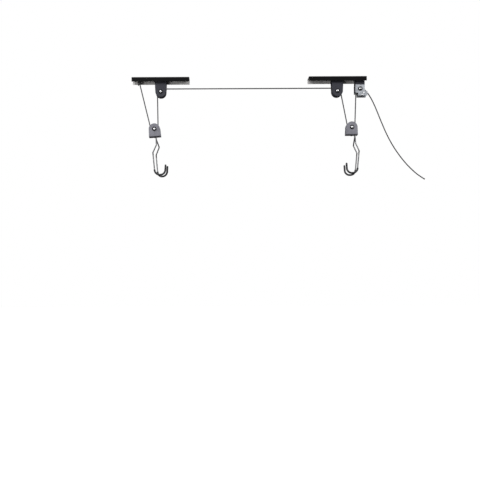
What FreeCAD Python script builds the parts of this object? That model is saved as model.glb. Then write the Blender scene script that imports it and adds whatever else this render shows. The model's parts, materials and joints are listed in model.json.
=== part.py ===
"""Ceiling bicycle hoist: two screwed channels, a rope over six sheaves, two hook blocks and a rope lock.

Millimetres, +Z up. The origin is the centre of the front channel's ceiling face, +X runs to the rear
channel and +Y away from the viewer, so the object hangs below z = 0.
"""

import FreeCAD, Part
import math
import os

V = FreeCAD.Vector
ACROSS = V(0, 1, 0)

# Overall layout
BRACKET_SPACING = 704.0
CHANNEL_LENGTH = 228.6
CHANNEL_HALF = CHANNEL_LENGTH / 2
LOCK_AXLE = (BRACKET_SPACING + CHANNEL_HALF - 24.3, -48.5)
FRONT_BLOCK_AXLE = (-26.0, -204.5)
REAR_BLOCK_AXLE = (LOCK_AXLE[0] - 33.2, -200.5)
FRONT_BLOCK_TILT = 4.0

# Ceiling channels
CHANNEL_WIDTH = 44.6
CHANNEL_HEIGHT = 18.2
SHEET = 2.0
CHANNEL_BEND = 4.0
MIN_BEND = 0.5
SCREW_HOLE_RADIUS = 3.0
SCREW_OFFSETS = (66.3 - CHANNEL_HALF, CHANNEL_HALF - 66.3, CHANNEL_HALF - 19.3)

# Hook wires and the ball heads that they hang by
WIRE_RADIUS = 2.5
STEM_HOLE_RADIUS = WIRE_RADIUS + 0.8
BALL_RADIUS = STEM_HOLE_RADIUS + 1.3
SLEEVE_RADIUS = WIRE_RADIUS + 1.25
STEM_Y = BALL_RADIUS + 0.4
BALL_LIFT = 0.05

# Yokes and hook blocks: U straps as deep as a pair of ball heads needs
STRAP_BEND = 4.0
KEEPER_SIDE_GAP = 0.1
KEEPER_WALL = 0.6
STRAP_DEPTH = 2 * (STRAP_BEND + KEEPER_SIDE_GAP + KEEPER_WALL + STEM_HOLE_RADIUS + STEM_Y)
YOKE_END_RADIUS = 21.3
YOKE_BASE_HALF = 24.0
YOKE_AXLE_DROP = 54.0
BLOCK_END_RADIUS = 22.3
BLOCK_BASE_HALF = 23.7
BLOCK_AXLE_RISE = 30.7

# Rope, sheaves and axles
ROPE_RADIUS = 2.25
ROPE_GAP = 0.3
PITCH_RADIUS = 14.0
FLANGE_RADIUS = PITCH_RADIUS + 3.0
LOCK_FLANGE_RADIUS = PITCH_RADIUS + 1.5
GROOVE_MOUTH = 2 * ROPE_RADIUS + 5.0
SHEAVE_RIM = GROOVE_MOUTH + 3.5
AXLE_RADIUS = 3.0
HUB_RADIUS = AXLE_RADIUS + 4.0
HUB_SIDE_GAP = 0.5
RUNNING_GAP = 0.06
AXLE_HEAD_RADIUS = AXLE_RADIUS + 1.5
AXLE_HEAD_HEIGHT = 2.2
WASHER_RADIUS = AXLE_RADIUS + 5.5
WASHER_THICKNESS = 1.0
HEAD_DOME_SHARE = 0.7

# Flush rivets through the channel bases
RIVET_RADIUS = 3.0
RIVET_FLARE = 4.8
RIVET_FLARE_DEPTH = 1.6
RIVET_TAIL_RADIUS = 5.0
RIVET_TAIL_HEIGHT = 1.8
RIVET_OFFSET = 12.0

# Rope tie in the front channel
TIE_X = 27.3 - CHANNEL_HALF
TIE_Z = -11.5
TIE_PIN_RADIUS = 2.5
KNOT_RADIUS = 2 * ROPE_RADIUS + 0.5
KNOT_START = 6.0
KNOT_END = 18.0

# Rope lock, placed from its own axle
LOCK_YOKE_SPAN = (-19.0, 18.0)
LOCK_YOKE_BOTTOM = -9.0
LOCK_PLATE_TOP = 16.3
LOCK_PLATE_BOTTOM = -27.5
LOCK_PLATE_UPPER = (-19.3, 17.7)
LOCK_PLATE_LOWER = (-8.5, 28.8)
LOCK_PLATE_LEFT_STEP = -16.0
LOCK_PLATE_CORNER = 3.5
LOCK_RIVET_OFFSET = 9.5
EXIT_ROLLER = (25.5, -15.0)
EXIT_ROLLER_RADIUS = 4.0
EXIT_PIN_RADIUS = 1.5
EXIT_PIN_HEAD = 2.6
WEDGE_LOW = (8.0, -23.5)
WEDGE_HIGH = (15.2, -13.6)
WEDGE_RADIUS = 4.5
WEDGE_PIN_RADIUS = 2.0
WEDGE_PIN_HEAD = 3.3
SLOT_GAP = 0.15
PIN_HEAD_HEIGHT = 1.0
SIDE_GAP = 0.4

# Hook blocks' keeper plates, and where the stems go through them
FRONT_STEM_X = 4.7
REAR_STEM_X = 14.0
KEEPER_HALF_LENGTH = 19.0
KEEPER_RIVET_RADIUS = 2.0
KEEPER_HEAD_RADIUS = 3.5
KEEPER_HEAD_HEIGHT = 3.0

# Hooks, placed from the centre of the ball head that each hangs by
HOOK_SPREAD = 20.0
HOOK_STEM_END = -9.0
HOOK_KNEE = (-3.0, -36.0)
HOOK_KINK = (11.0, -66.0)
HOOK_LEG_SLOPE = -6.0 / 65.0
HOOK_BOTTOM = -154.0
HOOK_BOWL_SPAN = 39.5
HOOK_TIP = (-39.0, -117.0)
HOOK_BEND = 9.0
BOWL_RADIUS = 20.0
SLEEVE_TOP = -134.0
FRONT_FAR_TURN = -20.0
REAR_FAR_TURN = -7.0

# Free end of the rope: corner points of its route after the exit roller, x and z from the lock's axle
TAIL_ARC_SHARE = 0.45
TAIL_ROUTE = [
    (42.5, -27.6),
    (54.4, -50.5),
    (68.0, -81.6),
    (81.8, -116.9),
    (97.4, -154.8),
    (115.2, -193.8),
    (135.7, -230.3),
    (160.6, -266.5),
    (187.0, -299.1),
    (215.4, -327.5),
    (242.2, -348.7),
    (259.6, -358.9),
]

SAME = 1e-6
STRAP_HALF = STRAP_DEPTH / 2
STRAP_INSIDE = STRAP_HALF - SHEET
PLATE_OUTSIDE = STRAP_HALF + SHEET
KEEPER_HALF_DEPTH = STRAP_HALF - STRAP_BEND - KEEPER_SIDE_GAP
WRAP_GAP_RADIUS = ROPE_RADIUS + ROPE_GAP
BALL_SEAT_RISE = math.sqrt(BALL_RADIUS ** 2 - STEM_HOLE_RADIUS ** 2) + BALL_LIFT
EXIT_CENTRE = (LOCK_AXLE[0] + EXIT_ROLLER[0], LOCK_AXLE[1] + EXIT_ROLLER[1])
EXIT_PATH_RADIUS = EXIT_ROLLER_RADIUS + WRAP_GAP_RADIUS
parts = {}


def at(x, z, y=0.0):
    return V(x, y, z)


def cylinder_y(x, z, radius, y0, y1):
    """A cylinder along Y."""
    return Part.makeCylinder(radius, y1 - y0, at(x, z, y0), ACROSS)


def prism(outline, y0, y1):
    """A closed outline of (x, z) corners, extruded along Y."""
    corners = [at(x, z, y0) for x, z in outline]
    face = Part.Face(Part.makePolygon(corners + corners[:1]))
    return face.extrude(V(0, y1 - y0, 0))


def one_solid(shape):
    """The single solid of a boolean's result, without leftover seams."""
    return shape.removeSplitter().Solids[0]


def domed_head(x, z, y, radius, height, side):
    """A rivet head on the face at y, domed towards +Y (side 1) or -Y (side -1)."""
    rise = height * HEAD_DOME_SHARE
    ball = (radius * radius + rise * rise) / (2 * rise)
    foot = height - rise
    head = cylinder_y(x, z, radius, 0, height)
    sphere = Part.makeSphere(ball, at(x, z, foot + rise - ball))
    head = head.common(sphere.fuse(cylinder_y(x, z, radius, 0, foot)))
    if side < 0:
        head = head.mirror(V(0, 0, 0), ACROSS)
    head.translate(V(0, y, 0))
    return head


def u_shell(length, width, height, bend):
    """A sheet channel along X that opens downward, its top face at z = 0."""

    def block(half, top, radius):
        solid = Part.makeBox(length, 2 * half, height + top, V(-length / 2, -half, -height))
        upper = [
            e for e in solid.Edges
            if all(abs(v.Z - top) < SAME for v in e.Vertexes) and abs(e.Length - length) < SAME
            and abs(abs(e.CenterOfMass.y) - half) < SAME
        ]
        return solid.makeFillet(radius, upper)

    outer = block(width / 2, 0.0, bend)
    inner = block(width / 2 - SHEET, -SHEET, max(bend - SHEET, MIN_BEND))
    return outer.cut(inner)


def flush_rivet(x, top, grip):
    """A countersunk rivet from the face at z = top, through grip of sheet, with a round tail below."""
    foot = at(x, top - grip - RIVET_TAIL_HEIGHT)
    cone = Part.makeCone(RIVET_RADIUS, RIVET_FLARE, RIVET_FLARE_DEPTH, at(x, top - RIVET_FLARE_DEPTH))
    shank = Part.makeCylinder(RIVET_RADIUS, grip + RIVET_TAIL_HEIGHT, foot)
    tail = Part.makeCylinder(RIVET_TAIL_RADIUS, RIVET_TAIL_HEIGHT, foot)
    return one_solid(cone.fuse([shank, tail]))


def strap(base_half, axle_drop, end_radius):
    """A U strap that hangs from z = 0, with cheeks rounded about the axle hole."""
    height = axle_drop + end_radius
    shell = u_shell(2 * base_half, STRAP_DEPTH, height, STRAP_BEND)
    upper = [(-base_half, 0), (base_half, 0), (end_radius, -axle_drop), (-end_radius, -axle_drop)]
    outline = prism(upper, -STRAP_HALF, STRAP_HALF)
    outline = outline.fuse(cylinder_y(0, -axle_drop, end_radius, -STRAP_HALF, STRAP_HALF))
    shell = shell.common(outline)
    return one_solid(shell.cut(cylinder_y(0, -axle_drop, AXLE_RADIUS, -STRAP_HALF, STRAP_HALF)))


def sheave(flange_radius):
    """A grooved sheave on the Y axis, with a hub that reaches the cheeks."""
    hub, rim, mouth = STRAP_INSIDE - HUB_SIDE_GAP, SHEAVE_RIM / 2, GROOVE_MOUTH / 2
    bore = AXLE_RADIUS + RUNNING_GAP
    corners = [
        (PITCH_RADIUS, WRAP_GAP_RADIUS), (flange_radius, mouth), (flange_radius, rim), (HUB_RADIUS, rim),
        (HUB_RADIUS, hub), (bore, hub), (bore, -hub), (HUB_RADIUS, -hub), (HUB_RADIUS, -rim),
        (flange_radius, -rim), (flange_radius, -mouth), (PITCH_RADIUS, -WRAP_GAP_RADIUS),
    ]
    points = [V(r, y, 0) for r, y in corners]
    edges = [Part.LineSegment(a, b).toShape() for a, b in zip(points, points[1:])]
    bottom = V(PITCH_RADIUS - WRAP_GAP_RADIUS, 0, 0)
    edges.append(Part.Arc(points[-1], bottom, points[0]).toShape())
    return Part.Face(Part.Wire(edges)).revolve(V(0, 0, 0), ACROSS, 360).Solids[0]


def axle_rivet(half):
    """A domed rivet through two cheeks and their washers, half is where its heads start."""
    solids = [cylinder_y(0, 0, AXLE_RADIUS, -half, half)]
    for side in (-1, 1):
        solids.append(domed_head(0, 0, side * half, AXLE_HEAD_RADIUS, AXLE_HEAD_HEIGHT, side))
    return one_solid(solids[0].fuse(solids[1:]))


def axle_washers(inner_face):
    """The pair of washers outside the cheeks, as one group."""
    rings = []
    for y in (-inner_face - WASHER_THICKNESS, inner_face):
        disc = cylinder_y(0, 0, WASHER_RADIUS, y, y + WASHER_THICKNESS)
        rings.append(disc.cut(cylinder_y(0, 0, AXLE_RADIUS, y, y + WASHER_THICKNESS)))
    return Part.makeCompound(rings)


def placed(shape, x, z, tilt=0.0):
    """A copy turned about its Y axis by tilt and moved to (x, z)."""
    copy = shape.copy()
    copy.rotate(V(0, 0, 0), ACROSS, -tilt)
    copy.translate(at(x, z))
    return copy


def tangent(c1, r1, s1, c2, r2, s2):
    """The rope's straight run between two circles, as its start, end and heading.

    s is 1 where the rope passes with the circle on its right, -1 on its left.
    """
    dx, dz = c2[0] - c1[0], c2[1] - c1[1]
    heading = math.atan2(dz, dx) - math.asin((s1 * r1 - s2 * r2) / math.hypot(dx, dz))
    nx, nz = -math.sin(heading), math.cos(heading)
    start = (c1[0] + s1 * r1 * nx, c1[1] + s1 * r1 * nz)
    end = (c2[0] + s2 * r2 * nx, c2[1] + s2 * r2 * nz)
    return start, end, heading


def rope_run(start, end):
    """A straight stretch of rope."""
    a, b = at(*start), at(*end)
    return Part.makeCylinder(ROPE_RADIUS, (b - a).Length, a, b - a)


def rope_wrap(centre, radius, side, heading_in, heading_out):
    """Rope round a sheave; side as in tangent, headings in radians."""
    turn = math.degrees(heading_in - heading_out)
    nx, nz = -math.sin(heading_in), math.cos(heading_in)
    start = at(centre[0] + side * radius * nx, centre[1] + side * radius * nz)
    along = V(math.cos(heading_in), 0, math.sin(heading_in))
    face = Part.Face(Part.Wire(Part.makeCircle(ROPE_RADIUS, start, along)))
    return face.revolve(at(*centre), ACROSS, turn).Solids[0]


def rounded_path(points, radii):
    """A wire of straight runs joined by tangent arcs, one radius for each inner point."""
    edges = []
    here = points[0]
    for before, corner, after, radius in zip(points, points[1:], points[2:], radii):
        u = (corner - before).normalize()
        w = (after - corner).normalize()
        turn = u.getAngle(w)
        cut = radius * math.tan(turn / 2)
        first, last = corner - u * cut, corner + w * cut
        inward = (w - u).normalize()
        middle = corner + inward * (radius / math.cos(turn / 2) - radius)
        if (first - here).Length > SAME:
            edges.append(Part.LineSegment(here, first).toShape())
        edges.append(Part.Arc(first, middle, last).toShape())
        here = last
    edges.append(Part.LineSegment(here, points[-1]).toShape())
    return Part.Wire(edges)


def tube(path, radius):
    """A round bar swept along a wire."""
    start = path.Edges[0].Vertexes[0].Point
    ahead = path.Edges[0].tangentAt(path.Edges[0].FirstParameter)
    ring = Part.Wire(Part.makeCircle(radius, start, ahead))
    return path.makePipeShell([ring], True, False).Solids[0]


def hook(lean, side, turn):
    """A bent wire hook and its sleeve, with the ball head's centre at the origin.

    The bowl opens towards lean * -X, side is -1 for the near hook, and turn is about its stem.
    """
    plate = -2 * SHEET - BALL_SEAT_RISE
    leg_foot = HOOK_KINK[0] + HOOK_LEG_SLOPE * (HOOK_KINK[1] - HOOK_BOTTOM)
    leg_top = HOOK_KINK[0] + HOOK_LEG_SLOPE * (HOOK_KINK[1] - SLEEVE_TOP)
    out = side * HOOK_SPREAD
    route = [
        V(0, 0, -plate),
        V(0, 0, HOOK_STEM_END),
        V(HOOK_KNEE[0], out, HOOK_KNEE[1]),
        V(HOOK_KINK[0], out, HOOK_KINK[1]),
        V(leg_foot, out, HOOK_BOTTOM),
        V(leg_foot - HOOK_BOWL_SPAN, out, HOOK_BOTTOM),
        V(HOOK_TIP[0], out, HOOK_TIP[1]),
    ]
    bends = [HOOK_BEND, HOOK_BEND, HOOK_BEND, BOWL_RADIUS, BOWL_RADIUS]
    wire = tube(rounded_path(route, bends), WIRE_RADIUS)
    wire = one_solid(wire.fuse(Part.makeSphere(BALL_RADIUS, V(0, 0, -plate))))
    bowl = rounded_path([V(leg_top, out, SLEEVE_TOP)] + route[4:], bends[3:])
    sleeve = tube(bowl, SLEEVE_RADIUS).fuse(Part.makeSphere(SLEEVE_RADIUS, route[-1]))
    sleeve = one_solid(sleeve).cut(wire).Solids[0]
    for shape in (wire, sleeve):
        shape.translate(V(0, 0, plate))
        if lean < 0:
            shape.rotate(V(0, 0, 0), V(0, 0, 1), 180)
        shape.rotate(V(0, 0, 0), V(0, 0, 1), turn)
    return wire, sleeve


def add_channel(name, x, screw_offsets, rivet_xs):
    """A ceiling channel, cut by the flush rivets that go through its base."""
    shell = u_shell(CHANNEL_LENGTH, CHANNEL_WIDTH, CHANNEL_HEIGHT, CHANNEL_BEND)
    for offset in screw_offsets:
        shell = shell.cut(Part.makeCylinder(SCREW_HOLE_RADIUS, 3 * SHEET, V(offset, 0, -2 * SHEET)))
    shell.translate(V(x, 0, 0))
    for rivet_x in rivet_xs:
        shell = shell.cut(flush_rivet(rivet_x, 0.0, 2 * SHEET))
    parts[name] = one_solid(shell)


def add_yoke(prefix, x):
    """A yoke under a channel, its flush rivets, and its sheave on its axle rivet."""
    axle_z = -SHEET - YOKE_AXLE_DROP
    rivets = [flush_rivet(x + offset, 0.0, 2 * SHEET) for offset in (-RIVET_OFFSET, RIVET_OFFSET)]
    yoke = placed(strap(YOKE_BASE_HALF, YOKE_AXLE_DROP, YOKE_END_RADIUS), x, -SHEET)
    parts[prefix + "_yoke"] = one_solid(yoke.cut(Part.makeCompound(rivets)))
    parts[prefix + "_yoke_rivets"] = Part.makeCompound(rivets)
    parts[prefix + "_sheave"] = placed(sheave(FLANGE_RADIUS), x, axle_z)
    parts[prefix + "_axle_rivet"] = placed(axle_rivet(STRAP_HALF + WASHER_THICKNESS), x, axle_z)
    parts[prefix + "_axle_washers"] = placed(axle_washers(STRAP_HALF), x, axle_z)
    return (x, axle_z)


def add_block(prefix, axle, tilt, stem_x, lean, far_turn):
    """A hook block: housing, sheave, axle, keeper plate and its two hanging hooks."""
    housing = strap(BLOCK_BASE_HALF, BLOCK_AXLE_RISE, BLOCK_END_RADIUS)
    housing.rotate(V(0, 0, 0), V(1, 0, 0), 180)
    housing.translate(at(0, -BLOCK_AXLE_RISE))
    inside = -BLOCK_AXLE_RISE + SHEET
    corner = V(-KEEPER_HALF_LENGTH, -KEEPER_HALF_DEPTH, inside)
    keeper = Part.makeBox(2 * KEEPER_HALF_LENGTH, 2 * KEEPER_HALF_DEPTH, SHEET, corner)
    head_foot = -BLOCK_AXLE_RISE - KEEPER_HEAD_HEIGHT
    shank = Part.makeCylinder(KEEPER_RIVET_RADIUS, 2 * SHEET, at(0, -BLOCK_AXLE_RISE))
    head = Part.makeCylinder(KEEPER_HEAD_RADIUS, KEEPER_HEAD_HEIGHT, at(0, head_foot))
    lower = [e for e in head.Edges if abs(e.CenterOfMass.z - head_foot) < SAME]
    head = head.makeFillet(KEEPER_HEAD_HEIGHT / 2, lower)
    tools = [shank]
    for y in (-STEM_Y, STEM_Y):
        hole_foot = at(stem_x, -BLOCK_AXLE_RISE - SHEET, y)
        tools.append(Part.makeCylinder(STEM_HOLE_RADIUS, 4 * SHEET, hole_foot))
    pieces = {
        "housing": one_solid(housing.cut(tools)),
        "keeper_plate": one_solid(keeper.cut(tools)),
        "keeper_rivet": one_solid(shank.fuse(head)),
        "sheave": sheave(FLANGE_RADIUS),
        "axle_rivet": axle_rivet(STRAP_HALF + WASHER_THICKNESS),
        "axle_washers": axle_washers(STRAP_HALF),
    }
    for name, shape in pieces.items():
        parts[prefix + "_" + name] = placed(shape, axle[0], axle[1], tilt)
    ball_z = -BLOCK_AXLE_RISE + 2 * SHEET + BALL_SEAT_RISE
    slope = math.radians(tilt)
    ball_x = axle[0] + stem_x * math.cos(slope) - ball_z * math.sin(slope)
    ball_height = axle[1] + stem_x * math.sin(slope) + ball_z * math.cos(slope)
    for name, side, turn in (("near", -1, 0.0), ("far", 1, far_turn)):
        wire, sleeve = hook(lean, side * lean, turn)
        for kind, shape in (("hook", wire), ("hook_sleeve", sleeve)):
            shape.translate(at(ball_x, ball_height, side * STEM_Y))
            parts[f"{prefix}_{name}_{kind}"] = shape
    print(f"{prefix} hook pivot x {ball_x:.3f} z {ball_height:.3f}")


def add_lock():
    """The rope lock under the rear channel."""
    ax, az = LOCK_AXLE
    left, right = LOCK_YOKE_SPAN
    rivets = [flush_rivet(ax + side * LOCK_RIVET_OFFSET, 0.0, 2 * SHEET) for side in (-1, 1)]
    yoke = u_shell(right - left, STRAP_DEPTH, -SHEET - az - LOCK_YOKE_BOTTOM, STRAP_BEND)
    yoke.translate(at(ax + (left + right) / 2, -SHEET))
    yoke = yoke.cut(rivets + [cylinder_y(ax, az, AXLE_RADIUS, -STRAP_HALF, STRAP_HALF)])
    parts["lock_yoke"] = one_solid(yoke)
    parts["lock_yoke_rivets"] = Part.makeCompound(rivets)

    upper, lower = LOCK_PLATE_UPPER, LOCK_PLATE_LOWER
    outline = [
        (upper[0], LOCK_PLATE_TOP), (upper[1], LOCK_PLATE_TOP), (upper[1], LOCK_YOKE_BOTTOM),
        (lower[1], LOCK_YOKE_BOTTOM), (lower[1], LOCK_PLATE_BOTTOM), (lower[0], LOCK_PLATE_BOTTOM),
        (lower[0], LOCK_PLATE_LEFT_STEP), (upper[0], LOCK_PLATE_LEFT_STEP),
    ]
    slot_radius = WEDGE_PIN_RADIUS + SLOT_GAP
    travel = V(WEDGE_HIGH[0] - WEDGE_LOW[0], 0, WEDGE_HIGH[1] - WEDGE_LOW[1])
    slope = travel / travel.Length
    print(f"wedge travel {travel.Length:.3f} along {slope.x:.5f} {slope.z:.5f}")
    for name, side in (("near", -1), ("far", 1)):
        y0, y1 = sorted((side * STRAP_HALF, side * PLATE_OUTSIDE))
        plate = prism(outline, y0, y1)
        outer = [
            e for e in plate.Edges
            if abs(e.Length - SHEET) < SAME and abs(e.CenterOfMass.x - lower[1]) < SAME
        ]
        plate = plate.makeFillet(LOCK_PLATE_CORNER, outer)
        across = V(-travel.z, 0, travel.x).normalize() * slot_radius
        low, high = at(WEDGE_LOW[0], WEDGE_LOW[1], y0), at(WEDGE_HIGH[0], WEDGE_HIGH[1], y0)
        corners = [low + across, high + across, high - across, low - across]
        slot = Part.Face(Part.makePolygon(corners + corners[:1])).extrude(V(0, SHEET, 0))
        plate = plate.cut([
            slot,
            cylinder_y(*WEDGE_LOW, slot_radius, y0, y1),
            cylinder_y(*WEDGE_HIGH, slot_radius, y0, y1),
            cylinder_y(0, 0, AXLE_RADIUS, y0, y1),
            cylinder_y(*EXIT_ROLLER, EXIT_PIN_RADIUS, y0, y1),
        ])
        parts["lock_plate_" + name] = placed(one_solid(plate), ax, az)
    parts["lock_sheave"] = placed(sheave(LOCK_FLANGE_RADIUS), ax, az)
    parts["lock_axle_rivet"] = placed(axle_rivet(PLATE_OUTSIDE + WASHER_THICKNESS), ax, az)
    parts["lock_axle_washers"] = placed(axle_washers(PLATE_OUTSIDE), ax, az)

    roller_half = STRAP_HALF - SIDE_GAP
    roller = cylinder_y(0, 0, EXIT_ROLLER_RADIUS, -roller_half, roller_half)
    roller = roller.cut(cylinder_y(0, 0, EXIT_PIN_RADIUS + RUNNING_GAP, -roller_half, roller_half))
    parts["lock_exit_roller"] = placed(roller, *EXIT_CENTRE)
    pin = cylinder_y(0, 0, EXIT_PIN_RADIUS, -PLATE_OUTSIDE, PLATE_OUTSIDE)
    for side in (-1, 1):
        pin = pin.fuse(domed_head(0, 0, side * PLATE_OUTSIDE, EXIT_PIN_HEAD, PIN_HEAD_HEIGHT, side))
    parts["lock_exit_pin"] = placed(one_solid(pin), *EXIT_CENTRE)

    wedge_half = STRAP_INSIDE - SIDE_GAP
    wedge = cylinder_y(0, 0, WEDGE_RADIUS, -wedge_half, wedge_half)
    wedge = wedge.cut(cylinder_y(0, 0, WEDGE_PIN_RADIUS, -wedge_half, wedge_half))
    parts["lock_wedge_roller"] = placed(wedge, ax + WEDGE_LOW[0], az + WEDGE_LOW[1])
    pin_half = PLATE_OUTSIDE + SIDE_GAP
    pin = cylinder_y(0, 0, WEDGE_PIN_RADIUS, -pin_half, pin_half)
    for side in (-1, 1):
        pin = pin.fuse(domed_head(0, 0, side * pin_half, WEDGE_PIN_HEAD, PIN_HEAD_HEIGHT, side))
    parts["lock_wedge_pin"] = placed(one_solid(pin), ax + WEDGE_LOW[0], az + WEDGE_LOW[1])
    return [ax + side * LOCK_RIVET_OFFSET for side in (-1, 1)]


def add_rope(front_yoke, rear_yoke):
    """The rope, from its tie over the sheaves to the exit roller of the lock."""
    tie = (TIE_X, TIE_Z)
    stops = [
        (tie, 0.0, 1), (FRONT_BLOCK_AXLE, PITCH_RADIUS, -1), (front_yoke, PITCH_RADIUS, 1),
        (rear_yoke, PITCH_RADIUS, 1), (REAR_BLOCK_AXLE, PITCH_RADIUS, -1), (LOCK_AXLE, PITCH_RADIUS, 1),
        (EXIT_CENTRE, EXIT_PATH_RADIUS, 1),
    ]
    runs = [tangent(*a, *b) for a, b in zip(stops, stops[1:])]
    headings = [run[2] for run in runs]

    def wrap(stop, heading_in, heading_out):
        centre, radius, side = stops[stop]
        return rope_wrap(centre, radius, side, heading_in, heading_out)

    along = V(math.cos(headings[0]), 0, math.sin(headings[0]))
    loop = Part.makeTorus(TIE_PIN_RADIUS + ROPE_RADIUS + SLOT_GAP, ROPE_RADIUS, at(*tie), ACROSS)
    knot = Part.makeCylinder(KNOT_RADIUS, KNOT_END - KNOT_START, at(*tie) + along * KNOT_START, along)
    knot = knot.makeFillet(KNOT_RADIUS / 2, [e for e in knot.Edges if len(e.Vertexes) == 1])
    knot = knot.cut(cylinder_y(*tie, TIE_PIN_RADIUS + SLOT_GAP, -CHANNEL_WIDTH, CHANNEL_WIDTH))
    parts["rope_tie_knot"] = one_solid(loop.fuse(knot))
    knot_exit = (tie[0] + along.x * KNOT_END, tie[1] + along.z * KNOT_END)
    parts["rope_tie_fall"] = rope_run(knot_exit, runs[0][1])
    parts["front_block_rope_wrap"] = wrap(1, headings[0], headings[1])
    parts["rope_front_fall"] = rope_run(*runs[1][:2])
    over_front = wrap(2, headings[1], headings[2])
    over_rear = wrap(3, headings[2], headings[3])
    parts["rope_span"] = one_solid(rope_run(*runs[2][:2]).fuse([over_front, over_rear]))
    parts["rope_rear_fall"] = rope_run(*runs[3][:2])
    parts["rear_block_rope_wrap"] = wrap(4, headings[3], headings[4])
    parts["rope_lock_fall"] = rope_run(*runs[4][:2])
    over_lock = wrap(5, headings[4], headings[5])
    over_exit = wrap(6, headings[5], tail_start()[1])
    parts["rope_lock_wrap"] = one_solid(rope_run(*runs[5][:2]).fuse([over_lock, over_exit]))
    for (start, end, heading), name in zip(runs, ("tie", "front", "span", "rear", "lock", "exit")):
        print(f"rope {name}: {start[0]:.2f},{start[1]:.2f} to {end[0]:.2f},{end[1]:.2f}"
              f" heading {math.degrees(heading):.2f}")


def tail_start():
    """Where the free end leaves the exit roller, and its heading there."""
    first = (LOCK_AXLE[0] + TAIL_ROUTE[0][0], LOCK_AXLE[1] + TAIL_ROUTE[0][1])
    start, _, heading = tangent(EXIT_CENTRE, EXIT_PATH_RADIUS, 1, first, 0.0, 1)
    return start, heading


def add_tail():
    """The free end: straight runs joined by arcs as large as the runs allow."""
    start = tail_start()[0]
    points = [at(*start)] + [at(LOCK_AXLE[0] + x, LOCK_AXLE[1] + z) for x, z in TAIL_ROUTE]
    print("tail points", [(round(p.x, 2), round(p.z, 2)) for p in points])
    radii = []
    for before, corner, after in zip(points, points[1:], points[2:]):
        turn = (corner - before).getAngle(after - corner)
        shorter = min((corner - before).Length, (after - corner).Length)
        radii.append(TAIL_ARC_SHARE * shorter / math.tan(turn / 2))
    path = rounded_path(points, radii)
    tail = tube(path, ROPE_RADIUS)
    parts["rope_tail"] = tail
    expected = math.pi * ROPE_RADIUS ** 2 * path.Length
    print("tail radii", [round(r) for r in radii], "length", round(path.Length, 1))
    print(f"tail volume {tail.Volume:.1f}, section times length {expected:.1f}")


lock_rivets = add_lock()
yoke_rivets = [(x - RIVET_OFFSET, x + RIVET_OFFSET) for x in (0.0, BRACKET_SPACING)]
add_channel("front_channel", 0.0, SCREW_OFFSETS, yoke_rivets[0])
rear_screws = [-offset for offset in SCREW_OFFSETS]
add_channel("rear_channel", BRACKET_SPACING, rear_screws, list(yoke_rivets[1]) + lock_rivets)
flange_half = CHANNEL_WIDTH / 2
tie_pin = cylinder_y(TIE_X, TIE_Z, TIE_PIN_RADIUS, -flange_half, flange_half)
parts["front_channel"] = one_solid(parts["front_channel"].cut(tie_pin))
parts["front_tie_pin"] = tie_pin
front_yoke_axle = add_yoke("front", 0.0)
rear_yoke_axle = add_yoke("rear", BRACKET_SPACING)
add_block("front_block", FRONT_BLOCK_AXLE, FRONT_BLOCK_TILT, FRONT_STEM_X, -1, FRONT_FAR_TURN)
add_block("rear_block", REAR_BLOCK_AXLE, 0.0, REAR_STEM_X, 1, REAR_FAR_TURN)
add_rope(front_yoke_axle, rear_yoke_axle)
add_tail()

os.makedirs("parts", exist_ok=True)
for node, shape in parts.items():
    if not shape.isValid():
        print("not valid:", node)
    shape.exportStep("parts/" + node + ".step")
print(len(parts), "parts")
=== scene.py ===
"""Looks of the ceiling bicycle hoist: camera, braided rope, materials and studio."""
import json
import math

import bpy
import numpy as np
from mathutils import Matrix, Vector


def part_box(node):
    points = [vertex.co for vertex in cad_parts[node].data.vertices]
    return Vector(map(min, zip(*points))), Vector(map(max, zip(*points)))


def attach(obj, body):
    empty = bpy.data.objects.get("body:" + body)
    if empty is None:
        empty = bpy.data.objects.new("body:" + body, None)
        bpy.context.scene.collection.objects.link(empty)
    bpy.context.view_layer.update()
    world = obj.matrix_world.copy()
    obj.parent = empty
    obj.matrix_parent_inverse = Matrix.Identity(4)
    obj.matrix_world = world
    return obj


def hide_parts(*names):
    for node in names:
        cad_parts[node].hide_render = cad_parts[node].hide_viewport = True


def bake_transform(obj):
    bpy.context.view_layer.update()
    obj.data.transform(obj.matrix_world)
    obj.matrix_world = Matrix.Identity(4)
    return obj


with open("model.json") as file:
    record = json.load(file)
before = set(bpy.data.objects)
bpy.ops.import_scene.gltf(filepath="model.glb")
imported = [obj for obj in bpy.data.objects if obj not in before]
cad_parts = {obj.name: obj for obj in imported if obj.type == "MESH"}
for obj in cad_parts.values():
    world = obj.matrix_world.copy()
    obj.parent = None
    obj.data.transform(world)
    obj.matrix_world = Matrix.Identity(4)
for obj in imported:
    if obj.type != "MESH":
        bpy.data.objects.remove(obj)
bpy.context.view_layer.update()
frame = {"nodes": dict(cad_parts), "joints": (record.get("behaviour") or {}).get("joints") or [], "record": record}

# ---------------------------------------------------------------- places, from the frame
PIVOT = {j["name"]: Vector(j["pos_m"]) for j in frame["joints"] if "pos_m" in j}
ROPE_RADIUS = 0.00225
PITCH_RADIUS = 0.014
EXIT_WRAP_RADIUS = 0.00655
TIE_PIN_RADIUS = 0.0025
KNOT_END = 0.018
TAIL_ROUTE = [
    (0.82484, -0.05970),
    (0.8365, -0.0761),
    (0.8484, -0.0990),
    (0.8620, -0.1301),
    (0.8758, -0.1654),
    (0.8914, -0.2033),
    (0.9092, -0.2423),
    (0.9297, -0.2788),
    (0.9546, -0.3150),
    (0.9810, -0.3476),
    (1.0094, -0.3760),
    (1.0362, -0.3972),
    (1.0536, -0.4074),
]


def middle(node):
    """The middle of a CAD node's box."""
    low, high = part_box(node)
    return (low + high) / 2


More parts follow.
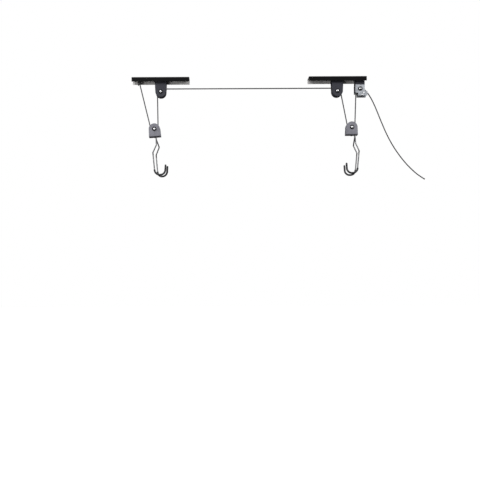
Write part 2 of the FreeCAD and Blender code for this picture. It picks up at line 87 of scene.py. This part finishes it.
# ---------------------------------------------------------------- camera
CAMERA_DISTANCE = 2.42
CAMERA_X = 0.2276
CAMERA_DROP = 0.783
CAMERA_ROLL = math.radians(0.27)
SENSOR = 36.0
LENS = 45.375
LENS_SHIFT = (0.044375, 0.0708333)
FARTHEST_SEEN = 50


def make_camera():
    data = bpy.data.cameras.new("camera")
    data.sensor_width = SENSOR
    data.lens = LENS
    data.shift_x, data.shift_y = LENS_SHIFT
    data.clip_end = FARTHEST_SEEN
    camera = bpy.data.objects.new("camera", data)
    camera.location = (CAMERA_X, -CAMERA_DISTANCE, -CAMERA_DROP)
    camera.rotation_euler = (math.pi / 2, CAMERA_ROLL, 0)
    bpy.context.scene.collection.objects.link(camera)
    bpy.context.scene.camera = camera


make_camera()
bpy.context.scene.view_settings.view_transform = "Standard"


# ---------------------------------------------------------------- materials
class Shader:
    """One material's node tree, with short ways to add nodes and link them."""

    def __init__(self, name):
        self.material = bpy.data.materials.new(name)
        self.material.use_nodes = True
        self.tree = self.material.node_tree
        self.surface = self.tree.nodes["Principled BSDF"]
        self.place = self.add("ShaderNodeTexCoord").outputs["Object"]

    def add(self, kind, **settings):
        node = self.tree.nodes.new(kind)
        for key, value in settings.items():
            setattr(node, key, value)
        return node

    def link(self, source, target):
        self.tree.links.new(source, target)

    def put(self, node, socket, value):
        """Sets a socket to a number or colour, or links it to another node's output."""
        if isinstance(value, bpy.types.NodeSocket):
            self.link(value, node.inputs[socket])
        else:
            node.inputs[socket].default_value = value

    def math(self, operation, a, b=0.5):
        node = self.add("ShaderNodeMath", operation=operation)
        self.put(node, 0, a)
        self.put(node, 1, b)
        return node.outputs[0]

    def noise(self, per_metre, detail=3.0, roughness=0.55, stretch=(1, 1, 1)):
        """A noise value from 0 to 1, with about per_metre features a metre."""
        mapping = self.add("ShaderNodeMapping")
        mapping.inputs["Scale"].default_value = stretch
        self.link(self.place, mapping.inputs["Vector"])
        node = self.add("ShaderNodeTexNoise")
        node.inputs["Scale"].default_value = per_metre
        node.inputs["Detail"].default_value = detail
        node.inputs["Roughness"].default_value = roughness
        self.link(mapping.outputs[0], node.inputs["Vector"])
        return node.outputs["Fac"]

    def remap(self, value, low, high, to_low=0.0, to_high=1.0):
        node = self.add("ShaderNodeMapRange")
        node.inputs["From Min"].default_value = low
        node.inputs["From Max"].default_value = high
        node.inputs["To Min"].default_value = to_low
        node.inputs["To Max"].default_value = to_high
        self.link(value, node.inputs["Value"])
        return node.outputs["Result"]

    def mix(self, factor, a, b):
        """A colour between a and b."""
        node = self.add("ShaderNodeMix", data_type="RGBA")
        self.put(node, 0, factor)
        for socket, value in ((6, a), (7, b)):
            if isinstance(value, tuple):
                value = (*value, 1.0)
            self.put(node, socket, value)
        return node.outputs[2]

    def bump(self, height, distance, normal=None):
        node = self.add("ShaderNodeBump")
        node.inputs["Distance"].default_value = distance
        self.link(height, node.inputs["Height"])
        if normal:
            self.link(normal, node.inputs["Normal"])
        return node.outputs["Normal"]

    def edge_normal(self, radius):
        """The normal with sharp edges rounded by radius."""
        node = self.add("ShaderNodeBevel", samples=6)
        node.inputs["Radius"].default_value = radius
        return node.outputs["Normal"]

    def edge_mask(self, rounded):
        """1 along sharp edges, 0 on flat faces."""
        flat = self.add("ShaderNodeNewGeometry").outputs["Normal"]
        node = self.add("ShaderNodeVectorMath", operation="DOT_PRODUCT")
        self.link(rounded, node.inputs[0])
        self.link(flat, node.inputs[1])
        return self.remap(node.outputs["Value"], 0.97, 0.8)

    def separate(self, vector):
        """The outputs X, Y and Z of a vector."""
        node = self.add("ShaderNodeSeparateXYZ")
        self.link(vector, node.inputs[0])
        return node.outputs

    def finish(self, **inputs):
        for socket, value in inputs.items():
            self.put(self.surface, socket.replace("_", " "), value)
        return self.material


def shade(colour, factor):
    return tuple(c * factor for c in colour)


# The channels' inside: half its width across, and the height that it lies below
INSIDE_HALF = 0.0207
INSIDE_TOP = -0.0015
PEEL_DEPTH = 0.00003


def paint(name, colour, rough, wear, edge=0.0006, specular=0.5, inside=None):
    """Satin paint on pressed steel: orange peel, faint clouds, scuffs, and rubbed edges.

    inside is the lighter colour within a channel, whose flanges stand INSIDE_HALF from its middle; it is partly a
    lighter inner finish and partly painted light, made brighter for the little light that reaches inside.
    """
    s = Shader(name)
    rounded = s.edge_normal(edge)
    peel = s.noise(900, detail=2.0)
    clouds = s.remap(s.noise(24, detail=4.0), 0.35, 0.65)
    scuffs = s.remap(s.noise(160, detail=8.0, roughness=0.7, stretch=(0.4, 1, 1.6)), 0.62, 0.72)
    worn = s.math("MULTIPLY", s.edge_mask(rounded), s.remap(s.noise(210, detail=5.0), 0.42, 0.62))
    base = s.mix(clouds, shade(colour, 0.86), shade(colour, 1.14))
    base = s.mix(s.math("MULTIPLY", scuffs, 0.2), base, shade(wear, 0.6))
    base = s.mix(s.math("MULTIPLY", worn, 0.55), base, wear)
    if inside:
        place = s.separate(s.place)
        within = s.math("LESS_THAN", s.math("ABSOLUTE", place["Y"]), INSIDE_HALF)
        within = s.math("MULTIPLY", within, s.math("LESS_THAN", place["Z"], INSIDE_TOP))
        # Partly painted light: the channel's inner faces get a lighter finish, made brighter still to stand in for
        # light that barely reaches inside.
        bare = s.mix(clouds, shade(inside, 0.8), shade(inside, 1.2))
        base = s.mix(within, base, s.mix(s.math("MULTIPLY", scuffs, 0.5), bare, shade(inside, 0.5)))
    roughness = s.remap(peel, 0.3, 0.7, rough - 0.05, rough + 0.05)
    roughness = s.math("ADD", roughness, s.math("MULTIPLY", scuffs, 0.12))
    s.surface.inputs["Specular IOR Level"].default_value = specular
    return s.finish(Base_Color=base, Roughness=roughness, Normal=s.bump(peel, PEEL_DEPTH, rounded))


# The dark mark at a hook wire's bend, partly worn plating and partly painted shade for the dark the bend reflects:
# half its height, where it has faded out, and how far it lies under the hook's pivot
KINK_HALF = 0.0045
KINK_FADE = 0.0075
KINK_DROP = 0.0785
LINE_DEPTH = 0.00003


def metal(name, colour, rough, tint, brushed=(1, 1, 1), edge=0.0004, kink=None):
    """Plated or bare steel: mottled plating, fine drawing lines, small dark marks.

    kink is the height of a dark mark with no metal to it at a wire's bend: partly worn plating, partly painted
    shade for the dark the bend reflects.
    """
    s = Shader(name)
    rounded = s.edge_normal(edge)
    lines = s.noise(1400, detail=4.0, roughness=0.7, stretch=brushed)
    clouds = s.remap(s.noise(70, detail=5.0, roughness=0.65), 0.35, 0.65)
    marks = s.remap(s.noise(230, detail=6.0, roughness=0.7), 0.66, 0.74)
    base = s.mix(clouds, shade(colour, 0.88), tint)
    base = s.mix(s.math("MULTIPLY", marks, 0.5), base, shade(colour, 0.35))
    metallic = 1.0
    # Partly painted shade: a dark, non-metal band round the bend, for worn plating and for the dark the bent wire
    # reflects.
    if kink:
        away = s.math("ABSOLUTE", s.math("SUBTRACT", s.separate(s.place)["Z"], kink))
        dark = s.remap(away, KINK_FADE, KINK_HALF)
        base = s.mix(dark, base, shade(colour, 0.03))
        metallic = s.math("SUBTRACT", 1.0, dark)
    roughness = s.remap(clouds, 0, 1, rough - 0.06, rough + 0.06)
    roughness = s.math("ADD", roughness, s.math("MULTIPLY", marks, 0.2))
    return s.finish(
        Base_Color=base, Metallic=metallic, Roughness=roughness,
        Normal=s.bump(lines, LINE_DEPTH, rounded),
    )


DUST = (0.16, 0.155, 0.15)
GRAIN_DEPTH = 0.00022


def moulded(name, colour, rough, grain):
    """Moulded or dipped plastic: fine grain, sink clouds and specks of dust."""
    s = Shader(name)
    fine = s.noise(1500, detail=3.0)
    waves = s.noise(grain, detail=3.0)
    dust = s.remap(s.noise(320, detail=6.0, roughness=0.7), 0.58, 0.75)
    base = s.mix(s.remap(waves, 0.3, 0.7), shade(colour, 0.8), shade(colour, 1.25))
    base = s.mix(s.math("MULTIPLY", dust, 0.18), base, DUST)
    roughness = s.remap(waves, 0.3, 0.7, rough - 0.06, rough + 0.06)
    roughness = s.math("ADD", roughness, s.math("MULTIPLY", dust, 0.2))
    height = s.math("ADD", s.math("MULTIPLY", fine, 0.15), waves)
    return s.finish(Base_Color=base, Roughness=roughness, Normal=s.bump(height, GRAIN_DEPTH))


# The braid: strands each way round, and the length of one crossing along the rope
STRANDS = 6
CROSSING = 0.0029
YARNS = 4
YARN_DARK, YARN_LIGHT = (0.032, 0.032, 0.036), (0.1, 0.098, 0.1)
# The groove colour is painted shade in the creases between strands.
# The yarn crest colour is a painted highlight on each yarn's crest.
YARN_CREST_HIGHLIGHT, GROOVE_SHADE, FUZZ = (0.11, 0.108, 0.11), (0.008, 0.008, 0.009), (0.16, 0.155, 0.155)
YARN_DEPTH = 0.00009


def braid_material():
    """Charcoal braid whose yarns run along the raised strands of the mesh, with a painted highlight on each yarn's
    crest and painted shade in the grooves between strands.
    """
    s = Shader("rope_braid")
    uv = s.add("ShaderNodeUVMap", uv_map="braid").outputs["UV"]
    split = s.separate(uv)
    around, along = s.math("MULTIPLY", split["X"], float(STRANDS)), split["Y"]
    one, other = s.math("ADD", around, along), s.math("SUBTRACT", around, along)
    cells = s.math("ADD", s.math("FLOOR", one), s.math("FLOOR", other))
    odd = s.math("GREATER_THAN", s.math("ABSOLUTE", s.math("MODULO", cells, 2.0)), 0.5)
    top = s.add("ShaderNodeMix", data_type="FLOAT")
    s.link(odd, top.inputs[0])
    s.link(one, top.inputs[2])
    s.link(other, top.inputs[3])
    across = top.outputs[0]
    yarns = s.math("SINE", s.math("MULTIPLY", across, 2 * math.pi * YARNS))
    strand = s.math("SUBTRACT", s.math("FRACT", across), 0.5)
    # Painted shade: the mask of the creases between strands.
    groove_shade = s.remap(s.math("ABSOLUTE", strand), 0.3, 0.5)
    fleck = s.add("ShaderNodeTexWhiteNoise", noise_dimensions="1D")
    s.link(s.math("FLOOR", s.math("MULTIPLY", across, float(YARNS))), fleck.inputs["W"])
    fuzz = s.noise(2600, detail=3.0)
    base = s.mix(s.remap(fleck.outputs["Value"], 0.55, 1.0), YARN_DARK, YARN_LIGHT)
    # Painted highlight: each yarn lighter along its crest.
    base = s.mix(s.remap(yarns, -1, 1, 0.0, 0.35), base, YARN_CREST_HIGHLIGHT)
    # Painted shade: darker in the grooves between strands.
    base = s.mix(s.math("MULTIPLY", groove_shade, 0.8), base, GROOVE_SHADE)
    base = s.mix(s.remap(fuzz, 0.55, 0.8, 0.0, 0.4), base, FUZZ)
    height = s.math("ADD", s.math("MULTIPLY", yarns, 0.3), s.math("MULTIPLY", fuzz, 0.6))
    return s.finish(
        Base_Color=base, Roughness=s.remap(fuzz, 0.3, 0.7, 0.62, 0.85), Sheen_Weight=0.25,
        Sheen_Roughness=0.5, Normal=s.bump(height, YARN_DEPTH),
    )


# The channel's inside colour is partly painted light, brighter than its finish for the little light that reaches
# inside.
CHANNEL_PAINT = paint(
    "channel_paint", (0.0035, 0.0035, 0.004), 0.55, (0.02, 0.02, 0.024), specular=0.08,
    inside=(0.6, 0.59, 0.58),
)
YOKE_PAINT = paint("yoke_paint", (0.03, 0.03, 0.04), 0.48, (0.1, 0.1, 0.11), specular=0.3)
BLOCK_PAINT = paint("block_paint", (0.19, 0.188, 0.215), 0.45, (0.3, 0.295, 0.31), specular=0.4)
BLACK_STEEL = paint(
    "black_steel", (0.005, 0.005, 0.006), 0.5, (0.03, 0.03, 0.03), edge=0.0003, specular=0.15
)
LOCK_ZINC = metal("lock_zinc", (0.42, 0.44, 0.47), 0.44, (0.54, 0.56, 0.59), brushed=(0.12, 1, 1))
RIVET_STEEL = metal(
    "rivet_steel", (0.55, 0.55, 0.57), 0.34, (0.64, 0.64, 0.64), brushed=(1, 0.2, 1)
)
ROLLER_STEEL = metal(
    "roller_steel", (0.4, 0.4, 0.41), 0.4, (0.48, 0.48, 0.48), brushed=(1, 0.1, 1)
)
# Each hook wire has the dark band at its bend, partly painted shade.
WIRE_ZINC = {
    block: metal(
        block + "_hook_wire", (0.2, 0.2, 0.205), 0.42, (0.27, 0.27, 0.275),
        brushed=(1, 1, 0.12), kink=PIVOT[block + "_block_near_hook_swivel"].z - KINK_DROP,
    )
    for block in ("front", "rear")
}
NYLON = moulded("sheave_nylon", (0.02, 0.02, 0.022), 0.45, 180)
VINYL = moulded("sleeve_vinyl", (0.014, 0.014, 0.016), 0.34, 240)
SEALED_ROPE = moulded("sealed_rope", (0.02, 0.02, 0.022), 0.3, 700)
BRAID = braid_material()

# The hook wires take WIRE_ZINC for their block instead
FINISHES = {
    "channel_paint": CHANNEL_PAINT,
    "yoke_paint": YOKE_PAINT,
    "block_paint": BLOCK_PAINT,
    "lock_zinc": LOCK_ZINC,
    "rivet_steel": RIVET_STEEL,
    "roller_steel": ROLLER_STEEL,
    "washer_black": BLACK_STEEL,
    "keeper_black": BLACK_STEEL,
    "nylon": NYLON,
    "rope": BRAID,
    "hook_wire": None,
    "hook_sleeve": VINYL,
}
for subpart in frame["record"]["subparts"]:
    node = frame["nodes"][subpart["node"]]
    finish = FINISHES[subpart["material_slot"]] or WIRE_ZINC[subpart["node"].split("_")[0]]
    node.data.materials.clear()
    node.data.materials.append(finish)


# ---------------------------------------------------------------- rope
def tangent(c1, r1, s1, c2, r2, s2):
    """Start and end of the straight run between two circles in the rope's plane.

    s is 1 where the rope passes with the circle on its right, -1 on its left.
    """
    across = c2 - c1
    heading = math.atan2(across.z, across.x) - math.asin((s1 * r1 - s2 * r2) / across.length)
    normal = Vector((-math.sin(heading), 0, math.cos(heading)))
    return c1 + normal * (s1 * r1), c2 + normal * (s2 * r2), heading


ARC_STEP = 0.0008


def arc(centre, radius, side, heading_in, heading_out):
    """Points round a sheave, from one heading of the rope to the next."""
    count = max(4, round(abs(heading_out - heading_in) * radius / ARC_STEP))
    points = []
    for i in range(count + 1):
        heading = heading_in + (heading_out - heading_in) * i / count
        outward = Vector((-math.sin(heading), 0, math.cos(heading)))
        points.append(centre + outward * (side * radius))
    return points


def nurbs_points(route):
    """The smooth line through a route: a quadratic NURBS with the route as control points."""
    data = bpy.data.curves.new("route", "CURVE")
    data.dimensions = "3D"
    data.resolution_u = 16
    spline = data.splines.new("NURBS")
    spline.points.add(len(route) - 1)
    for point, place in zip(spline.points, route):
        point.co = (*place, 1.0)
    spline.order_u = 3
    spline.use_endpoint_u = True
    holder = bpy.data.objects.new("route", data)
    bpy.context.scene.collection.objects.link(holder)
    evaluated = holder.evaluated_get(bpy.context.evaluated_depsgraph_get())
    mesh = bpy.data.meshes.new_from_object(evaluated)
    points = [v.co.copy() for v in mesh.vertices]
    bpy.data.objects.remove(holder)
    bpy.data.meshes.remove(mesh)
    return points


def evenly(points, step):
    """Points a step apart along a line, and their distances from its start."""
    line = np.array([tuple(p) for p in points])
    lengths = np.linalg.norm(np.diff(line, axis=0), axis=1)
    run = np.concatenate([[0], np.cumsum(lengths)])
    at = np.linspace(0, run[-1], max(3, round(run[-1] / step) + 1))
    return np.stack([np.interp(at, run, line[:, k]) for k in range(3)], axis=1), at


def sideways(line):
    """Two unit vectors across the line at each point, carried along without twist."""
    forward = np.gradient(line, axis=0)
    forward /= np.linalg.norm(forward, axis=1)[:, None]
    first = np.empty_like(line)
    side = np.array([0.0, 1.0, 0.0])
    for i, ahead in enumerate(forward):
        side = side - ahead * (side @ ahead)
        side /= np.linalg.norm(side)
        first[i] = side
    return first, np.cross(forward, first)


def new_piece(name, vertices, faces, material):
    mesh = bpy.data.meshes.new(name)
    mesh.from_pydata(vertices, [], faces)
    mesh.materials.append(material)
    mesh.polygons.foreach_set("use_smooth", [True] * len(mesh.polygons))
    piece = bpy.data.objects.new(name, mesh)
    bpy.context.scene.collection.objects.link(piece)
    return piece


def tube_faces(rings, sides):
    """Quads between neighbouring rings, and a fan at each end onto the last two vertices."""
    faces = []
    for i in range(rings - 1):
        for k in range(sides):
            after = (k + 1) % sides
            near, far = i * sides, (i + 1) * sides
            faces.append((near + k, far + k, far + after, near + after))
    start, end = rings * sides, rings * sides + 1
    last = (rings - 1) * sides
    for k in range(sides):
        after = (k + 1) % sides
        faces.append((start, k, after))
        faces.append((end, last + after, last + k))
    return faces


BRAID_SIDES = 24
BRAID_STEP = 0.0007
BRAID_RELIEF = 0.0003
# The share of the relief that lies inside the rope's own radius
BRAID_SUNK = 0.75


def braided(name, points):
    """A rope with raised strands that cross over and under each other."""
    line, at = evenly(points, BRAID_STEP)
    rings = len(line)
    first, second = sideways(line)
    angle = np.arange(BRAID_SIDES) * 2 * math.pi / BRAID_SIDES
    one = STRANDS * angle[None, :] / (2 * math.pi) + at[:, None] / CROSSING
    other = STRANDS * angle[None, :] / (2 * math.pi) - at[:, None] / CROSSING
    over = (np.floor(one) + np.floor(other)) % 2 == 0
    height = np.where(over, np.abs(np.sin(math.pi * one)), np.abs(np.sin(math.pi * other)))
    radius = ROPE_RADIUS + BRAID_RELIEF * (height - BRAID_SUNK)
    ring = first[:, None, :] * np.cos(angle)[None, :, None]
    ring = ring + second[:, None, :] * np.sin(angle)[None, :, None]
    vertices = (line[:, None, :] + ring * radius[:, :, None]).reshape(-1, 3)
    vertices = np.vstack([vertices, line[0], line[-1]])
    piece = new_piece(name, vertices.tolist(), tube_faces(rings, BRAID_SIDES), BRAID)
    layer = piece.data.uv_layers.new(name="braid")
    for polygon in piece.data.polygons:
        corners = [piece.data.loops[i].vertex_index for i in polygon.loop_indices]
        seam = BRAID_SIDES - 1 in [c % BRAID_SIDES for c in corners if c < rings * BRAID_SIDES]
        for loop, vertex in zip(polygon.loop_indices, corners):
            if vertex >= rings * BRAID_SIDES:
                layer.data[loop].uv = (0.0, 0.0)
                continue
            column, row = vertex % BRAID_SIDES, vertex // BRAID_SIDES
            u = 1.0 if seam and column == 0 else column / BRAID_SIDES
            layer.data[loop].uv = (u, at[row] / CROSSING)
    return piece


tie = middle("front_tie_pin")
STOPS = [
    (tie, 0.0, 1),
    (PIVOT["front_block_sheave_spin"], PITCH_RADIUS, -1),
    (PIVOT["front_sheave_spin"], PITCH_RADIUS, 1),
    (PIVOT["rear_sheave_spin"], PITCH_RADIUS, 1),
    (PIVOT["rear_block_sheave_spin"], PITCH_RADIUS, -1),
    (PIVOT["lock_sheave_spin"], PITCH_RADIUS, 1),
    (PIVOT["lock_exit_roller_spin"], EXIT_WRAP_RADIUS, 1),
]
RUNS = [tangent(*a, *b) for a, b in zip(STOPS, STOPS[1:])]


def wrap(stop, heading_in, heading_out):
    centre, radius, side = STOPS[stop]
    return arc(centre, radius, side, heading_in, heading_out)


def rope_pieces():
    headings = [run[2] for run in RUNS]
    tie_run = (RUNS[0][1] - tie).normalized()
    falls = [
        ("rope_tie_fall", tie + tie_run * KNOT_END, RUNS[0][1], "front_block"),
        ("rope_front_fall", RUNS[1][1], RUNS[1][0], "front_block"),
        ("rope_rear_fall", RUNS[3][0], RUNS[3][1], "rear_block"),
        ("rope_lock_fall", RUNS[4][1], RUNS[4][0], "rear_block"),
    ]
    for node, top, foot, block in falls:
        fall = braided(node + "_braid", [top, foot])
        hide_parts(node)
        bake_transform(fall)
    for block, stop in (("front_block", 1), ("rear_block", 4)):
        under = braided(block + "_rope_braid", wrap(stop, headings[stop - 1], headings[stop]))
        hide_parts(block + "_rope_wrap")
        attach(under, block)
    span = wrap(2, headings[1], headings[2]) + wrap(3, headings[2], headings[3])
    over = braided("rope_span_braid", span)
    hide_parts("rope_span")
    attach(over, "root")
    first, second = TAIL_ROUTE[:2]
    leaving = math.atan2(second[1] - first[1], second[0] - first[0])
    route = wrap(5, headings[4], headings[5]) + wrap(6, headings[5], leaving)
    lock = braided("rope_lock_braid", route)
    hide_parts("rope_lock_wrap")
    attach(lock, "root")


TAIL_STEP = 0.002
# The sealed tips: (distance along, radius), and how far each starts before the rope's end
TAIL_TIP = [
    (0.0, 0.0022), (0.0, 0.00245), (0.0006, 0.0026), (0.002, 0.0025), (0.0035, 0.00262),
    (0.005, 0.0024), (0.0057, 0.0018), (0.006, 0.0009), (0.006, 0.0),
]
TAIL_TIP_BACK = 0.0058
TIE_TIP = [
    (0.0, 0.0022), (0.0, 0.0025), (0.001, 0.0026), (0.0026, 0.0024), (0.0032, 0.0014), (0.0034, 0.0),
]
TIE_TIP_BACK = 0.002


def sealed_tip(name, end, ahead, back, profile):
    tip = lathe(name, end - ahead * back, ahead, profile, SEALED_ROPE)
    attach(tip, "root")
    return tip


def rope_tail():
    """The free end, with a heat-sealed tip."""
    line = nurbs_points([(x, 0.0, z) for x, z in TAIL_ROUTE])
    even, at = evenly(line, TAIL_STEP)
    tail = braided("rope_tail_braid", line)
    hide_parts("rope_tail")
    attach(tail, "root")
    ahead = Vector(even[-1] - even[-3]).normalized()
    tip = sealed_tip("rope_tail_tip", Vector(even[-1]), ahead, TAIL_TIP_BACK, TAIL_TIP)


LATHE_SIDES = 32
SMALLEST_RADIUS = 1e-5


def lathe(name, start, along, profile, material):
    """A turned shape: (distance along, radius) from start, in the direction along."""
    sides = LATHE_SIDES
    across = along.orthogonal().normalized()
    up = along.cross(across)
    vertices, faces = [], []
    for distance, radius in profile:
        for k in range(sides):
            angle = 2 * math.pi * k / sides
            spoke = across * math.cos(angle) + up * math.sin(angle)
            vertices.append(start + along * distance + spoke * max(radius, SMALLEST_RADIUS))
    for i in range(len(profile) - 1):
        for k in range(sides):
            after = (k + 1) % sides
            near, far = i * sides, (i + 1) * sides
            faces.append((near + k, near + after, far + after, far + k))
    faces.append(tuple(reversed(range(sides))))
    faces.append(tuple((len(profile) - 1) * sides + k for k in range(sides)))
    return new_piece(name, [tuple(v) for v in vertices], faces, material)


# The tie knot, in millimetres: the hitch's radius, its height, and its rise at each of eight steps
KNOT_GAP = 0.15
HITCH_RADIUS = 4.6
HITCH_HEIGHT = 5.2
HITCH_RISE = 0.62


def tie_knot():
    """The rope's end: once round the tie pin, then a half hitch round itself, in the channel.

    The route is in millimetres: to the right of the fall, down it, and across the channel.
    """
    down = (RUNS[0][1] - tie).normalized()
    right = Vector((-down.z, 0, down.x))
    across = Vector((0, 1, 0))
    turn = (TIE_PIN_RADIUS + ROPE_RADIUS) * 1e3 + KNOT_GAP
    route = [(0, KNOT_END * 1e3, 0), (0.4, 14, 0), (2.6, 9.5, 0.2), (turn, 4.5, 0.3), (turn, 0.5, 0.2)]
    for step in range(1, 6):
        angle = math.pi * step / 5
        route.append((turn * math.cos(angle) * 1.02, -turn * math.sin(angle) * 1.04, 0.0))
    route += [(-4.6, 2.4, -0.6), (-4.2, 4.6, -1.8)]
    for step in range(1, 9):
        angle = math.pi * (1.1 + step / 4)
        height = HITCH_HEIGHT + HITCH_RISE * step
        route.append((HITCH_RADIUS * math.cos(angle), height, HITCH_RADIUS * math.sin(angle)))
    route += [(-5.4, 11.6, 2.4), (-6.4, 14.0, 1.6)]
    points = [tie + (right * r + down * d + across * y) / 1e3 for r, d, y in route]
    knot = braided("rope_tie_knot_braid", nurbs_points([tuple(p) for p in points]))
    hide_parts("rope_tie_knot")
    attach(knot, "root")
    ahead = (points[-1] - points[-2]).normalized()
    sealed_tip("rope_tie_tip", points[-1], ahead, TIE_TIP_BACK, TIE_TIP)


rope_pieces()
rope_tail()
tie_knot()


# ---------------------------------------------------------------- studio
def emission(name, colour, strength):
    material = bpy.data.materials.new(name)
    material.use_nodes = True
    surface = material.node_tree.nodes["Principled BSDF"]
    surface.inputs["Base Color"].default_value = (*colour, 1.0)
    surface.inputs["Roughness"].default_value = 0.9
    surface.inputs["Emission Color"].default_value = (*colour, 1.0)
    surface.inputs["Emission Strength"].default_value = strength
    return material


FLOOR_Z = -1.75
FLOOR_SIDE = 30.0


# How bright the world is to the sides and from above, by the height of the direction
WORLD_FADE = (-0.1, 0.75)
WORLD_STRENGTH = (0.05, 1.1)
FLOOR_COLOUR = (0.9, 0.9, 0.9)
FLOOR_GLOW = 0.9


def make_studio():
    mesh = bpy.data.meshes.new("floor")
    half = FLOOR_SIDE / 2
    mesh.from_pydata(
        [(-half, -half, FLOOR_Z), (half, -half, FLOOR_Z), (half, half, FLOOR_Z),
         (-half, half, FLOOR_Z)],
        [], [(0, 1, 2, 3)],
    )
    mesh.materials.append(emission("pale_floor", FLOOR_COLOUR, FLOOR_GLOW))
    floor = bpy.data.objects.new("floor", mesh)
    bpy.context.scene.collection.objects.link(floor)
    floor.visible_diffuse = False
    floor.visible_glossy = False

    world = bpy.data.worlds.new("studio")
    world.use_nodes = True
    tree = world.node_tree
    back = tree.nodes["Background"]
    seen = tree.nodes.new("ShaderNodeBackground")
    seen.inputs["Color"].default_value = (1, 1, 1, 1)
    seen.inputs["Strength"].default_value = 1.0
    way = tree.nodes.new("ShaderNodeTexCoord")
    split = tree.nodes.new("ShaderNodeSeparateXYZ")
    tree.links.new(way.outputs["Generated"], split.inputs[0])
    fade = tree.nodes.new("ShaderNodeMapRange")
    fade.inputs["From Min"].default_value, fade.inputs["From Max"].default_value = WORLD_FADE
    fade.inputs["To Min"].default_value, fade.inputs["To Max"].default_value = WORLD_STRENGTH
    tree.links.new(split.outputs["Z"], fade.inputs["Value"])
    tree.links.new(fade.outputs["Result"], back.inputs["Strength"])
    back.inputs["Color"].default_value = (0.97, 0.98, 1, 1)
    path = tree.nodes.new("ShaderNodeLightPath")
    mix = tree.nodes.new("ShaderNodeMixShader")
    tree.links.new(path.outputs["Is Camera Ray"], mix.inputs[0])
    tree.links.new(back.outputs[0], mix.inputs[1])
    tree.links.new(seen.outputs[0], mix.inputs[2])
    tree.links.new(mix.outputs[0], tree.nodes["World Output"].inputs["Surface"])
    bpy.context.scene.world = world


def area_light(name, place, aim, side, power):
    data = bpy.data.lights.new(name, "AREA")
    data.shape = "SQUARE"
    data.size = side
    data.energy = power
    lamp = bpy.data.objects.new(name, data)
    lamp.location = place
    lamp.rotation_euler = (Vector(aim) - Vector(place)).to_track_quat("-Z", "Y").to_euler()
    bpy.context.scene.collection.objects.link(lamp)


make_studio()
area_light("key", (-1.6, -2.2, 2.0), (0.4, 0, -0.2), 1.6, 75)
area_light("side", (3.2, -2.0, 1.2), (0.4, 0, -0.2), 1.4, 50)
area_light("low_front", (-1.0, -3.0, -1.0), (0.4, 0, -0.1), 1.2, 26)
